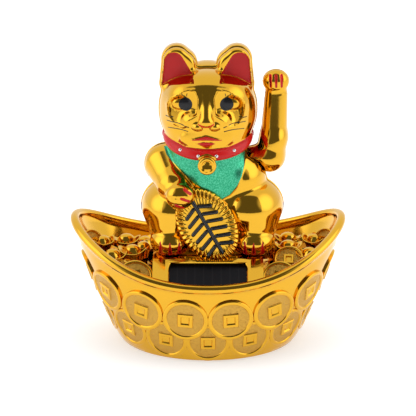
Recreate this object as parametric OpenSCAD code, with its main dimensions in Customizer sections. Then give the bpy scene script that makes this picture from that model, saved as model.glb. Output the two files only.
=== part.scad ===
// Solar beckoning cat on an ingot base.
// Millimetres, +Z up, the cat faces -Y. The origin is the centre of the footprint on the table.

/* [Ingot base] */
// Half length of the rim, tip to centre
rim_half_x = 45; // [43:0.5:47]
// Half depth of the rim, front to centre
rim_half_y = 32.5; // [31:0.5:34]
// Half length of the footprint
foot_half_x = 29.5; // [28:0.5:31]
// Half depth of the footprint
foot_half_y = 26; // [25:0.5:27]
// Height of the rim at the middle of the front and back
rim_low = 26.5; // [26:0.5:28]
// Height of the rim at the two tips
rim_high = 41; // [39:0.5:43]
// Wall of the gold plated base mouldings
base_wall = 1.6; // [1.4:0.1:1.8]
// Radius of the coins in relief round the base
relief_coin_r = 7; // [6:0.25:7.5]

/* [Treasure deck] */
// Height of the deck floor
deck_z = 20; // [19:0.5:21]
// Height of the plinth that the cat sits on
plinth_z = 31.5; // [31:0.25:32]
// Half width of the plinth
plinth_half_x = 20.5; // [20:0.25:21]
// Slope of the facet that holds the solar cell
facet_angle = 37; // [35:1:39]

/* [Solar cell] */
// Length of the window in the deck
window_l = 25.4; // [24:0.2:26]
// Width of the window, down the slope
window_w = 12; // [11:0.2:12.4]
// Thickness of the cell behind the window
cell_t = 1; // [0.8:0.1:1.2]

/* [Cat] */
// Height of the ear tips over the table
ear_top = 100; // [99:0.25:101]
// Wall of the cat's two shells
cat_wall = 1.3; // [1.1:0.1:1.5]
// Place of the joint between the front and rear shells
parting_y = -0.5; // [-1:0.1:0]

/* [Waving arm] */
// Height of the arm's pivot
pivot_z = 61.5; // [61:0.25:62]
// Place of the arm's pivot, front to back
pivot_y = 1; // [0.5:0.25:1.5]
// Wall of the arm's two shells
arm_wall = 1.1; // [1:0.05:1.2]
// Diameter of the steel pivot shaft
shaft_d = 1.6; // [1.5:0.1:1.8]
// Distance from the pivot down to the magnet's middle
pendulum_l = 26.25; // [25.5:0.25:26.5]
// Diameter of the drive magnet
magnet_d = 6; // [5:0.5:6.5]

/* [Hidden] */

gap = 0.3;          // clearance between neighbouring mouldings
slip = 0.05;        // radial running clearance of the shaft
tiny = 0.01;        // overlap that keeps cuts clean
big = 200;          // larger than the whole object
gold = [0.95, 0.72, 0.18];

screw_d = 1.6;      // thread of every self-tapping screw
screw_hole_d = 1.7; // hole that the thread sits in
screw_head_d = 3.2;
screw_head_h = 1.2;

lip_r = 1.5;        // bead round the rim
ring_sides = 64;    // segments round the base
wall_steps = 6;     // levels from the foot to the rim
coin_row_n = 15;    // coins in the relief row
coin_spread = 3.3;  // degrees that even out the coins' steps along the oval
wall_bulge = 0.82;  // below 1, the wall swells outwards towards the tips
relief_t = 0.5;     // how far a relief coin stands proud
relief_level = 0.58; // share of the rim's height where the coins' middles lie

// ---------- base surface ----------

// Height of the rim over the table, round the base
function rim_z(a) = rim_low + (rim_high - rim_low) * pow(abs(cos(a)), 2.4);

// Point of the outer wall at turn a and share t of the rim's height, moved inwards by inset
function wall_point(a, t, inset = 0) =
    let (
        half_x = foot_half_x + (rim_half_x - foot_half_x) * pow(t, wall_bulge),
        half_y = foot_half_y + (rim_half_y - foot_half_y) * pow(t, wall_bulge)
    ) [(half_x - inset) * cos(a), (half_y - inset) * sin(a), t * rim_z(a)];

// One level of the wall as a ring of points
function wall_ring(t, inset = 0, lift = 0) = [
    for (i = [0 : ring_sides - 1])
        wall_point(360 * i / ring_sides, t, inset) + [0, 0, lift]
];

// Faces between ring k and ring m, each of n points
function band(k, m, n) = [
    for (i = [0 : n - 1], half = [0, 1])
        let (j = (i + 1) % n)
            half == 0 ? [k * n + i, m * n + j, k * n + j] : [k * n + i, m * n + i, m * n + j]
];

// A closed loop of rings, as a wall with an inside and an outside has
module ring_loop(rings) {
    n = len(rings[0]);
    count = len(rings);
    polyhedron(
        points = [for (r = rings) each r],
        faces = [for (k = [0 : count - 1]) each band(k, (k + 1) % count, n)]
    );
}

// A stack of rings closed by a flat face at both ends
module ring_stack(rings) {
    n = len(rings[0]);
    last = len(rings) - 1;
    polyhedron(
        points = [for (r = rings) each r],
        faces = [
            [for (i = [0 : n - 1]) i],
            for (k = [0 : last - 1]) each band(k, k + 1, n),
            [for (i = [n - 1 : -1 : 0]) last * n + i]
        ]
    );
}

// Space inside the bowl, less a clearance, up past the rim
module bowl_space(clear) {
    top = 46;
    rim = wall_ring(1, base_wall + clear);
    ring_stack(concat(
        [for (k = [0 : wall_steps - 1]) wall_ring(k / wall_steps, base_wall + clear)],
        [rim, [for (p = rim) [p[0], p[1], top]]]
    ));
}

// ---------- ingot base ----------

// Turn of a relief coin, so that the coins are evenly spaced and two of them flank the front
function coin_turn(i) =
    let (share = 360 * (i + 0.5) / coin_row_n) share - 90 - coin_spread * sin(2 * share);

// A relief coin laid on the wall at turn a and share t of the rim's height
module wall_coin(a, t, r) {
    step = 4;
    p = wall_point(a, t);
    along = wall_point(a + step, t) - wall_point(a - step, t);
    up = wall_point(a, t + 0.1) - wall_point(a, t - 0.1);
    out = cross(along, up) / norm(cross(along, up));
    side = along / norm(along);
    rise = cross(out, side);
    sink = 1.2;
    multmatrix([
        [side[0], rise[0], out[0], p[0]],
        [side[1], rise[1], out[1], p[1]],
        [side[2], rise[2], out[2], p[2]],
        [0, 0, 0, 1]
    ])
        hull() {
            translate([0, 0, -sink]) cylinder(r = r, h = sink, $fn = 20);
            cylinder(r = r - 0.4, h = relief_t, $fn = 20);
        }
}

module ingot_bowl() {
    outer = [for (k = [0 : wall_steps]) wall_ring(k / wall_steps)];
    lip = [
        wall_ring(1, base_wall * 0.1, lip_r * 0.8),
        wall_ring(1, base_wall * 0.55, lip_r),
        wall_ring(1, base_wall, lip_r * 0.6)
    ];
    inner = [for (k = [wall_steps : -1 : 0]) wall_ring(k / wall_steps, base_wall)];
    color(gold) {
        ring_loop(concat(outer, lip, inner));
        for (i = [0 : coin_row_n - 1]) wall_coin(coin_turn(i), relief_level, relief_coin_r);
    }
}

// ---------- treasure deck ----------

facet_top = [-15.5, plinth_z];  // y and z of the facet's upper edge
facet_l = 18;                   // length of the facet down its slope
post_at = [[-21.8, -8], [21.8, -8], [-21.8, 8], [21.8, 8]];
board_post_at = [[-9, 15.6], [9, 15.6]];
body_screw_at = [[-14.5, -6], [14.5, -6], [-14.5, 6.5], [14.5, 6.5]];
frame_screw_at = [[-9.5, 1], [9.5, 1]];
board_z = 13;                   // upper face of the circuit board
cover_t = 1.8;
post_d = 5;

// Each leaning coin of the left wing: place, tilt about X, tilt about Y, radius
coins_left = [
    [[-24.5, -16.5, 25.2], 38, 14, 5.6],
    [[-35.5, -7, 30.2], 20, 38, 4.6],
    [[-31, 8, 29.5], -20, 22, 5],
    [[-24, 15, 27.5], -28, 8, 5]
];
coins_right = [
    [[22.5, -17, 25], 40, -14, 5.6],
    [[25.5, -8.5, 28], 30, -10, 5],
    [[36, -4, 30.5], 18, -38, 4.6],
    [[30, 9, 29.5], -20, -22, 5]
];
coins_back = [
    [[-13, 22.5, 20.6], -18, -8, 5.4],
    [[-3, 21, 21.2], -8, 14, 5],
    [[7, 22.5, 20.8], -20, -6, 5.2],
    [[16, 20.5, 21.6], -14, 10, 5]
];
// Each small ingot: place, turn about Z
ingots_left = [[[-31, -8, 26.5], 20], [[-23.5, -3.5, 28], -10]];
ingots_right = [[[32.5, -9, 26.5], -20], [[26, 1, 28.5], 12]];

module loose_coin(place, tilt_x, tilt_y, r) {
    translate(place) rotate([tilt_x, tilt_y, 0])
        hull() {
            cylinder(r = r, h = 1.4, $fn = 16);
            translate([0, 0, -1.5]) cylinder(r = r - 1.5, h = 1, $fn = 16);
        }
}

// A boat with raised ends and a dome in the middle
module small_ingot(place, turn) {
    translate(place) rotate([0, 0, turn]) {
        hull() {
            translate([0, 0, -3]) scale([3, 2.2, 1]) cylinder(r = 1, h = 1, $fn = 16);
            scale([5, 3.6, 1]) cylinder(r = 1, h = 1, $fn = 16);
        }
        translate([0, 0, 1]) scale([3.1, 2.8, 2.6]) sphere(r = 1, $fn = 12);
    }
}

// The rough heap under the coins of one wing, side is -1 or 1
module heap(side, inset) {
    hull() {
        translate([side * 26, 0, deck_z - 1]) scale([11, 21, 7.5] - [1, 1, 1] * inset)
            sphere(r = 1, $fn = 20);
        translate([side * 36, 0, deck_z + 4]) scale([7, 14, 7] - [1, 1, 1] * inset)
            sphere(r = 1, $fn = 20);
    }
}

// The block under the cat, with the sloping facet in front
module plinth(inset) {
    back_y = 15;
    foot_y = facet_top[0] - facet_l * cos(facet_angle);
    foot_z = facet_top[1] - facet_l * sin(facet_angle);
    translate([-plinth_half_x + inset, 0, 0]) rotate([90, 0, 90])
        linear_extrude(2 * (plinth_half_x - inset))
            polygon([
                [back_y - inset, deck_z - 1 - (inset > 0 ? 5 : 0)],
                [back_y - inset, plinth_z - inset],
                [facet_top[0] + inset * 0.4, plinth_z - inset],
                [foot_y + inset * 0.4, foot_z - inset],
                [foot_y + inset * 0.4, deck_z - 1 - (inset > 0 ? 5 : 0)]
            ]);
}

// y and z of the middle of the solar cell's window
window_mid = facet_top - (1.6 + window_w / 2) * [cos(facet_angle), sin(facet_angle)];

// Places children on the solar cell's facet: origin at the middle of the window, Z out of the facet
module on_facet() {
    translate([0, window_mid[0], window_mid[1]]) rotate([facet_angle, 0, 0]) children();
}

module post(at, bottom, top, d) {
    translate([at[0], at[1], bottom]) cylinder(d = d, h = top - bottom, $fn = 24);
}

// Everything that stands up from the deck's floor, before it is hollowed
module treasure() {
    plinth(0);
    for (side = [-1, 1]) heap(side, 0);
    for (c = concat(coins_left, coins_right, coins_back)) loose_coin(c[0], c[1], c[2], c[3]);
    for (g = concat(ingots_left, ingots_right)) small_ingot(g[0], g[1]);
}

module deck_hollows() {
    difference() {
        plinth(base_wall);
        for (at = body_screw_at) post(at, deck_z, plinth_z, 4.6);
    }
    for (side = [-1, 1]) heap(side, base_wall);
}

// Screw posts under the deck, which run up until they meet its underside
module deck_posts() {
    intersection() {
        union() {
            for (at = post_at) post(at, cover_t + gap, deck_z + 6, post_d);
            for (at = board_post_at) post(at, board_z, deck_z + 6, 4);
        }
        union() {
            translate([-big / 2, -big / 2, -1]) cube([big, big, deck_z + 0.4]);
            plinth(0.7);
            for (side = [-1, 1]) heap(side, 0.7);
        }
    }
}

module deck_holes() {
    for (at = post_at) post(at, 0, 12, screw_hole_d);
    for (at = board_post_at) post(at, 0, deck_z - 2.5, screw_hole_d);
    for (at = body_screw_at) {
        post(at, 0, big, screw_hole_d);
        post(at, 0, plinth_z - base_wall - 2, screw_head_d + 0.4);
    }
    for (at = frame_screw_at) post(at, 0, big, screw_hole_d);
    on_facet() cube([window_l, window_w, 12], center = true);
    translate([0, pivot_y, 0]) cylinder(d = coil_d + 2, h = big, $fn = 32);
}

module treasure_deck() {
    floor_low = deck_z - base_wall;
    color(gold) difference() {
        union() {
            difference() {
                intersection() {
                    bowl_space(gap);
                    union() {
                        translate([-big / 2, -big / 2, floor_low]) cube([big, big, base_wall]);
                        difference() {
                            treasure();
                            translate([0, 0, floor_low + 0.4 - big]) cube([big, big, 2 * big], center = true);
                        }
                    }
                }
                deck_hollows();
            }
            deck_posts();
        }
        deck_holes();
    }
}

module bottom_cover() {
    fit = base_wall + gap;
    outline = [for (p = wall_ring(0, fit)) [p[0], p[1]]];
    color(gold) difference() {
        linear_extrude(cover_t) polygon(outline);
        for (at = post_at) {
            post(at, -tiny, big, screw_hole_d);
            post(at, -tiny, screw_head_h, screw_head_d + 0.3);
        }
    }
}

module screw(at, seat, length, up = 1) {
    translate([at[0], at[1], seat]) scale([1, 1, up]) difference() {
        union() {
            translate([0, 0, -screw_head_h + 0.1]) cylinder(d = screw_head_d, h = screw_head_h - 0.1, $fn = 32);
            cylinder(d = screw_d, h = length, $fn = 32);
        }
        for (turn = [0, 90]) rotate([0, 0, turn])
            translate([-1, -0.2, -screw_head_h]) cube([2, 0.4, 0.6]);
    }
}

module cover_screws() {
    color("silver") for (at = post_at) screw(at, screw_head_h, 8);
}

// ---------- solar cell and circuit ----------

cell_depth = 1.7;   // from the facet's face to the cell's face

module solar_cell() {
    color([0.05, 0.05, 0.06]) on_facet()
        translate([0, 0, -cell_depth - cell_t / 2]) cube([window_l + 2, window_w + 1.4, cell_t], center = true);
}

// A wire of 8 sides swept along its route
wire_d = 0.8;
function wire_ring(route, i) =
    let (
        n = len(route),
        a = route[max(i - 1, 0)],
        b = route[min(i + 1, n - 1)],
        dir = (b - a) / norm(b - a),
        ref = abs(dir[0]) < 0.9 ? [1, 0, 0] : [0, 1, 0],
        u = cross(dir, ref) / norm(cross(dir, ref)),
        v = cross(dir, u)
    ) [for (k = [0 : 7]) route[i] + wire_d / 2 * (u * cos(45 * k) + v * sin(45 * k))];

module wire(route) {
    ring_stack([for (i = [0 : len(route) - 1]) wire_ring(route, i)]);
}

// Point at share t of a three-point curve from a to c that leans towards b
function bent(a, b, c, t) = (1 - t) * (1 - t) * a + 2 * t * (1 - t) * b + t * t * c;

module solar_wire(side) {
    depth = cell_depth + cell_t + 0.02;
    start = [side * 2.5, window_mid[0] + depth * sin(facet_angle), window_mid[1] - depth * cos(facet_angle)];
    end = [side * 2.5, 7.5, board_z + wire_d / 2];
    wire([for (k = [0 : 10]) bent(start, [side * 2.5, -12, board_z + 5], end, k / 10)]);
}

module solar_wire_red() {
    color("red") solar_wire(-1);
}

module solar_wire_black() {
    color([0.1, 0.1, 0.1]) solar_wire(1);
}

board_size = [24, 13, 1];
board_y = 12;

module circuit_board() {
    color([0.1, 0.4, 0.2]) difference() {
        translate([0, board_y, board_z - board_size[2] / 2]) cube(board_size, center = true);
        for (at = board_post_at) post(at, 0, big, screw_hole_d);
    }
}

module board_screws() {
    color("silver") for (at = board_post_at) screw(at, board_z - board_size[2] - 0.02, 4.5);
}

module drive_chip() {
    color([0.08, 0.08, 0.08]) translate([-4.5, board_y - 1, board_z - board_size[2] - 1.02])
        cube([4.4, 3.2, 1], center = false);
}

module storage_capacitor() {
    color([0.15, 0.2, 0.5]) translate([5, board_y - 2.5, board_z - board_size[2] - 7.02])
        cylinder(d = 5, h = 7, $fn = 32);
}

// ---------- drive ----------

coil_d = 8.5;       // outside of the coil's winding
coil_top = plinth_z + 1.0;
bobbin_h = 6;
bobbin_bore_d = 2;
frame_plate = [24, 11, 1.4];
frame_z = plinth_z + 0.05;
upright_x = 5;      // middle of each upright
upright_t = 1.6;

module coil_bobbin() {
    color([0.9, 0.9, 0.85]) translate([0, pivot_y, coil_top - bobbin_h]) difference() {
        union() {
            cylinder(d = coil_d + 0.6, h = 0.7, $fn = 48);
            cylinder(d = 3.6, h = bobbin_h, $fn = 48);
            translate([0, 0, bobbin_h - 0.7]) cylinder(d = coil_d + 0.6, h = 0.7, $fn = 48);
        }
        translate([0, 0, -1]) cylinder(d = bobbin_bore_d, h = bobbin_h + 2, $fn = 32);
    }
}

module coil_winding() {
    color([0.72, 0.36, 0.15]) translate([0, pivot_y, coil_top - bobbin_h + 0.71]) difference() {
        cylinder(d = coil_d, h = bobbin_h - 1.42, $fn = 48);
        translate([0, 0, -1]) cylinder(d = 3.62, h = bobbin_h, $fn = 48);
    }
}

module coil_leads() {
    wire_start = coil_top - bobbin_h - wire_d / 2;
    color([0.72, 0.36, 0.15]) for (side = [-1, 1])
        wire([for (k = [0 : 8]) bent(
            [side * 2.6, pivot_y + 1.5, wire_start], [side * 7, 3, 18], [side * 7, 8, board_z + wire_d / 2], k / 8)]);
}

// Carries the shaft in two uprights and clips the bobbin under its plate
module mechanism_frame() {
    color([0.95, 0.95, 0.92]) difference() {
        union() {
            translate([0, pivot_y, frame_z + frame_plate[2] / 2]) cube(frame_plate, center = true);
            for (side = [-1, 1]) {
                translate([side * upright_x - upright_t / 2, pivot_y - 3, frame_z])
                    cube([upright_t, 6, pivot_z - frame_z]);
                translate([side * upright_x - upright_t / 2, pivot_y, pivot_z]) rotate([0, 90, 0])
                    cylinder(r = 3, h = upright_t, $fn = 48);
            }
        }
        translate([-10, pivot_y, pivot_z]) rotate([0, 90, 0])
            cylinder(d = shaft_d + 2 * slip, h = 20, $fn = 48);
        translate([0, pivot_y, 0]) cylinder(d = coil_d + 0.8, h = big, $fn = 48);
        for (at = frame_screw_at) post(at, 0, big, screw_hole_d);
    }
}

module frame_screws() {
    color("silver") for (at = frame_screw_at)
        translate([at[0], at[1], frame_z + frame_plate[2] + 0.02]) rotate([180, 0, 0]) screw([0, 0], 0, 3.6);
}

shaft_from = -7.5;
shaft_to = 12.4;

module pivot_shaft() {
    color("silver") translate([shaft_from, pivot_y, pivot_z]) rotate([0, 90, 0])
        cylinder(d = shaft_d, h = shaft_to - shaft_from, $fn = 48);
}

lever_hub_l = 2 * (upright_x - upright_t / 2) - 0.6;
magnet_h = 2.4;
weight_z = -14;     // middle of the balance weight, from the pivot

module pendulum_lever() {
    cup_h = magnet_h + 0.8;
    color([0.9, 0.9, 0.85]) translate([0, pivot_y, pivot_z]) difference() {
        union() {
            translate([-lever_hub_l / 2, 0, 0]) rotate([0, 90, 0]) cylinder(d = 5, h = lever_hub_l, $fn = 48);
            translate([-1.5, -1, -pendulum_l]) cube([3, 2, pendulum_l]);
            translate([0, 0, -pendulum_l - magnet_h / 2]) cylinder(d = magnet_d + 1.2, h = cup_h, $fn = 48);
        }
        translate([-10, 0, 0]) rotate([0, 90, 0]) cylinder(d = shaft_d, h = 20, $fn = 48);
        translate([0, 0, -pendulum_l - magnet_h / 2 - 1]) cylinder(d = magnet_d, h = magnet_h + 1, $fn = 48);
    }
}

module drive_magnet() {
    color([0.7, 0.7, 0.72]) translate([0, pivot_y, pivot_z - pendulum_l - magnet_h / 2])
        cylinder(d = magnet_d, h = magnet_h, $fn = 48);
}

// Two steel plates riveted either side of the lever
module balance_weight() {
    plate = [6, 2.2, 8];
    color([0.6, 0.6, 0.62]) for (side = [-1, 1])
        translate([0, pivot_y + side * (1 + plate[1] / 2), pivot_z + weight_z]) cube(plate, center = true);
}

// ---------- cat shells ----------

// An ellipsoid with half sizes r, shrunk by inset
module blob(c, r, inset, n = 28) {
    hull() translate(c) scale([r[0] - inset, r[1] - inset, r[2] - inset])
        sphere(r = 1, $fn = n);
}

// A limb from a to b with a radius at each end
module limb(a, ra, b, rb, inset, n = 20) {
    hull() {
        translate(a) sphere(r = ra - inset, $fn = n);
        translate(b) sphere(r = rb - inset, $fn = n);
    }
}

cat_bottom = plinth_z + 0.05;
ear_base_z = 86;

module ear(side, inset) {
    tip_r = 4.6;
    half_t = 3;
    hull() {
        translate([side * 10.2, 1, ear_top - tip_r]) scale([tip_r, half_t, tip_r] - [1, 1, 1] * inset)
            sphere(r = 1, $fn = 20);
        translate([side * 13.2, 1, ear_base_z]) scale([3, half_t, 3] - [1, 1, 1] * inset)
            sphere(r = 1, $fn = 16);
        translate([side * 5, 1, ear_base_z]) scale([3, half_t, 3] - [1, 1, 1] * inset)
            sphere(r = 1, $fn = 16);
    }
}

// The whole cat as one closed form, shrunk by inset
module cat_form(inset, n) {
    // head, cheeks and neck
    blob([0, 0, 80], [16.2, 14.4, 12.4], inset, n);
    hull() for (side = [-1, 1]) translate([side * 7.4, -2, 75.5])
        scale([8.6, 11.6, 8.4] - [1, 1, 1] * inset) sphere(r = 1, $fn = n);
    for (side = [-1, 1]) ear(side, inset);
    limb([0, -0.5, 62], 13.8, [0, -0.5, 68], 12.6, inset, n);
    blob([0, -14.2, 74.6], [6, 3.6, 4.4], inset, 20);
    // torso, with the shoulders narrowing to the neck
    hull() {
        translate([0, 0, 58]) scale([15, 12.6, 10] - [1, 1, 1] * inset) sphere(r = 1, $fn = n);
        translate([0, 0, 44]) scale([17, 14, 14] - [1, 1, 1] * inset) sphere(r = 1, $fn = n);
    }
    // thighs and feet
    blob([13.3, 0, 45.2], [11.6, 13.4, 10.8], inset, n);
    blob([-11.2, 0, 45.2], [10.8, 13.4, 10.4], inset, n);
    limb([15.5, -1, 38], 7, [14.5, -9.4, 35.2], 5.4, inset, n);
    limb([-13.4, -1, 38], 6.6, [-12.6, -9.4, 35.2], 5.4, inset, n);
    hull() for (side = [-1, 1]) translate([side * 9, 0.8, 36]) scale([11, 13.4, 8] - [1, 1, 1] * inset)
        sphere(r = 1, $fn = n);
    // the arm that holds the plaque
    limb([-13.6, -1, 59.5], 7.2, [-11, -8.6, 54.4], 5.4, inset, n);
    limb([-11, -8.6, 54.4], 5.4, [-8.4, -12.4, 52.2], 4.2, inset, n);
}

// Oval plaque held against the belly
module plaque() {
    translate([-0.3, -12.4, 42.6]) rotate([-5, 0, 0]) rotate([0, -30, 0]) hull() {
        rotate([90, 0, 0]) scale([9.2, 13, 1]) cylinder(r = 1, h = 3, $fn = 32);
        rotate([90, 0, 0]) scale([8.4, 12.2, 1]) cylinder(r = 1, h = 3.6, $fn = 32);
    }
}

module collar_ring() {
    translate([0, -0.5, 67]) rotate([9, 0, 0]) scale([14.1, 14.1, 1])
        rotate_extrude($fn = 36) translate([0.9, 0]) scale([1 / 9, 1.9]) circle(r = 1, $fn = 10);
}

module arm_hole() {
    hull() {
        translate([10, pivot_y, 63]) scale([6, 6, 5.6]) sphere(r = 1, $fn = 20);
        translate([24, pivot_y, 61.6]) scale([6, 6, 7.6]) sphere(r = 1, $fn = 20);
    }
}

module cat_wall_form() {
    difference() {
        union() {
            cat_form(0, 24);
            plaque();
            collar_ring();
            translate([0, -16, 63.6]) sphere(r = 3, $fn = 16);
        }
        cat_form(cat_wall, 14);
        arm_hole();
        translate([-big / 2, -big / 2, cat_bottom - big]) cube(big);
    }
}

module half_space(front) {
    shift = front ? -big / 2 + parting_y - 0.03 : big / 2 + parting_y + 0.03;
    translate([0, shift, 0]) cube([big, big, 2 * big], center = true);
}

module cat_half(front) {
    screws = [for (at = body_screw_at) if ((at[1] < parting_y) == front) at];
    difference() {
        union() {
            intersection() {
                cat_wall_form();
                half_space(front);
            }
            intersection() {
                for (at = screws) post(at, cat_bottom, cat_bottom + 7, 4.5);
                cat_form(cat_wall / 2, 14);
            }
        }
        for (at = screws) post(at, 0, cat_bottom + 6, screw_hole_d);
    }
}

module front_shell() {
    color(gold) cat_half(true);
}

module rear_shell() {
    color(gold) {
        cat_half(false);
        // the tail curled on the back
        difference() {
            union() {
                limb([0, 13.2, 38], 2.6, [6, 12.8, 43], 2.3, 0, 16);
                limb([6, 12.8, 43], 2.3, [4, 12.6, 50], 1.9, 0, 16);
            }
            cat_form(cat_wall / 2, 14);
        }
    }
}

module body_screws() {
    seat = plinth_z - base_wall - 2;
    color("silver") for (at = body_screw_at) screw(at, seat - 0.02, 8);
}

// ---------- waving arm ----------

module arm_form(inset) {
    limb([13, pivot_y, pivot_z], 3.3, [20.4, pivot_y, 61.4], 4.8, inset);
    limb([20.4, pivot_y, 61.4], 4.8, [21.8, pivot_y, 68], 4.6, inset);
    limb([21.8, pivot_y, 68], 4.6, [22.1, pivot_y, 76], 4.1, inset);
    limb([22.1, pivot_y, 76], 4.1, [22.1, pivot_y, 82.5], 3.5, inset);
    limb([22.1, pivot_y, 82.5], 3.5, [22.1, pivot_y - 0.6, 86.6], 4.1, inset);
    blob([22.1, pivot_y - 0.6, 86.9], [4.3, 4.2, 3.9], inset, 20);
}

module arm_half(front) {
    shift = front ? -big / 2 + pivot_y - 0.02 : big / 2 + pivot_y + 0.02;
    intersection() {
        difference() {
            arm_shell();
            translate([13, pivot_y, pivot_z]) cube([9, 4.06, 4.06], center = true);
        }
        translate([0, shift, 0]) cube([big, big, 2 * big], center = true);
    }
}

module arm_shell() {
    difference() {
        arm_form(0);
        arm_form(arm_wall);
    }
}

module arm_front_half() {
    color(gold) arm_half(true);
}

module arm_rear_half() {
    color(gold) arm_half(false);
}

// Square block that joins the shaft to the arm's root
module arm_hub() {
    color([0.9, 0.9, 0.85]) difference() {
        translate([13, pivot_y, pivot_z]) cube([8.9, 4, 4], center = true);
        translate([5, pivot_y, pivot_z]) rotate([0, 90, 0]) cylinder(d = shaft_d, h = shaft_to - 5 + tiny, $fn = 48);
    }
}

ingot_bowl();
treasure_deck();
bottom_cover();
cover_screws();
solar_cell();
solar_wire_red();
solar_wire_black();
circuit_board();
board_screws();
drive_chip();
storage_capacitor();
coil_leads();
front_shell();
rear_shell();
body_screws();
mechanism_frame();
frame_screws();
coil_bobbin();
coil_winding();
pivot_shaft();
pendulum_lever();
drive_magnet();
balance_weight();
arm_hub();
arm_front_half();
arm_rear_half();
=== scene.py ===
"""Looks of the solar beckoning cat: smooth plated shells, coins, treasure, paint and studio light.

Shapes are worked out in millimetres and scaled to metres when a mesh is made.
Organic pieces are distance fields turned into meshes; everything else is skinned from rings.
"""

import math

import bpy
import numpy as np
import openvdb
from mathutils import Matrix, Vector

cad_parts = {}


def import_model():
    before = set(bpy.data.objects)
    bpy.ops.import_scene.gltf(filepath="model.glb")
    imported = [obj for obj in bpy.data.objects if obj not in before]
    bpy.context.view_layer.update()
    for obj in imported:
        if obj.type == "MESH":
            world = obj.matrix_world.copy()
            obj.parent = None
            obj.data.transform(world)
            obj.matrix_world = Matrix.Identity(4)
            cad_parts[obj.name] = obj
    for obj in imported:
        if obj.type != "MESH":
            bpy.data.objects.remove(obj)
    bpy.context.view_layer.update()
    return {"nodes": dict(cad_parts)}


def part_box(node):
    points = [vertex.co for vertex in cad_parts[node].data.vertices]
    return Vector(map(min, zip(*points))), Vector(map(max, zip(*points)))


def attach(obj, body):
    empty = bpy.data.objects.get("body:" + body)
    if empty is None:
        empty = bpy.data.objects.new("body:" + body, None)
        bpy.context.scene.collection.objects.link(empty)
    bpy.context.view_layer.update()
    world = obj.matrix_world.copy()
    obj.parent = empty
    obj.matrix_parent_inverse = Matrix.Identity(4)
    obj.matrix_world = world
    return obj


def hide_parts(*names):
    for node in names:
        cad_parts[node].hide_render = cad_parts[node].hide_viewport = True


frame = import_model()

MM = 0.001
PARTING_Y = -0.5
PIVOT = (13.0, 1.0, 61.5)
CAT_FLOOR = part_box("front_shell")[0][2] / MM
RIM_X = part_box("ingot_bowl")[1][0] / MM
RIM_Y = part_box("ingot_bowl")[1][1] / MM
FOOT_X = 29.5
FOOT_Y = 26.0
RIM_LOW = 26.5         # height of the rim at the front and back
RIM_HIGH = 41.0        # and at the tips
RIM_SWEEP = 2.4        # how late the rim rises towards the tips
RIM_ROLL = 1.45        # radius of the rim's rolled edge
WALL = 1.6
WALL_BULGE = 0.82
FACE_X = -0.6          # middle of the face, slightly to one side
SHARP_ANGLE = 38.0     # edges of the base and the treasure stay sharp above this angle
NO_PAINT = 9.0         # distance to the paint's edge where there is none


# ---------- distance fields ----------

def size_of(v):
    return np.sqrt((v * v).sum(axis=-1))


def ball(p, centre, radii):
    """Distance to an ellipsoid, true enough near its surface."""
    radii = np.asarray(radii, dtype=np.float32)
    q = (p - np.asarray(centre, dtype=np.float32)) / radii
    k = size_of(q)
    return k * (k - 1) / np.maximum(size_of(q / radii), 1e-6)


def limb(p, a, b, ra, rb):
    """Distance to a bar from a to b with a radius at each end."""
    a = np.asarray(a, dtype=np.float32)
    along = np.asarray(b, dtype=np.float32) - a
    t = np.clip(((p - a) @ along) / (along @ along), 0, 1)
    return size_of(p - a - t[:, None] * along) - (ra + (rb - ra) * t)


def join(a, b, k):
    """Union with a fillet of about k."""
    h = np.clip(0.5 + 0.5 * (b - a) / k, 0, 1)
    return b + (a - b) * h - k * h * (1 - h)


def meet(a, b, k):
    """Intersection with a rounded edge of about k."""
    return -join(-a, -b, k)


def cut(a, b, k):
    """a with b taken away."""
    return -join(-a, b, k)


def polygon(u, v, corners):
    """Signed distance in a plane to a polygon, negative inside."""
    d = np.full(u.shape, 1e9)
    inside = np.zeros(u.shape, dtype=bool)
    for (x0, y0), (x1, y1) in zip(corners, corners[1:] + corners[:1]):
        ex, ey = x1 - x0, y1 - y0
        t = np.clip(((u - x0) * ex + (v - y0) * ey) / (ex * ex + ey * ey), 0, 1)
        d = np.minimum(d, np.hypot(u - x0 - t * ex, v - y0 - t * ey))
        crosses = (y0 > v) != (y1 > v)
        inside ^= crosses & (u < x0 + (v - y0) * ex / (ey if ey else 1e-9))
    return np.where(inside, -d, d)


def stroke(u, v, a, b, ra, rb=None):
    """Signed distance in a plane to a line from a to b, ra and rb thick at its ends."""
    rb = ra if rb is None else rb
    ex, ey = b[0] - a[0], b[1] - a[1]
    t = np.clip(((u - a[0]) * ex + (v - a[1]) * ey) / (ex * ex + ey * ey), 0, 1)
    return np.hypot(u - a[0] - t * ex, v - a[1] - t * ey) - (ra + (rb - ra) * t)


def surface(field, low, high, pitch):
    """Mesh of field = 0 inside a box, with its points moved onto the exact surface."""
    low = np.asarray(low, dtype=np.float32)
    counts = [int((h - l) / pitch) + 1 for l, h in zip(low, high)]
    axes = [low[i] + pitch * np.arange(counts[i], dtype=np.float32) for i in range(3)]
    values = np.empty(counts, dtype=np.float32)
    yz = np.stack(np.meshgrid(axes[1], axes[2], indexing="ij"), axis=-1).reshape(-1, 2)
    for i, x in enumerate(axes[0]):
        p = np.column_stack([np.full(len(yz), x, dtype=np.float32), yz]).astype(np.float32)
        values[i] = field(p).reshape(counts[1:])
    grid = openvdb.FloatGrid(4 * pitch)
    grid.copyFromArray(values)
    points, quads = grid.convertToQuads(isovalue=0)
    points = low + points.astype(np.float32) * pitch
    for _ in range(3):
        points = settle(field, points, pitch * 0.6)
    return points, quads


def slope(field, p, step=0.04):
    """Gradient of a field."""
    parts = []
    for axis in range(3):
        shift = np.zeros(3, dtype=np.float32)
        shift[axis] = step
        parts.append((field(p + shift) - field(p - shift)) / (2 * step))
    return np.stack(parts, axis=-1)


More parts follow.
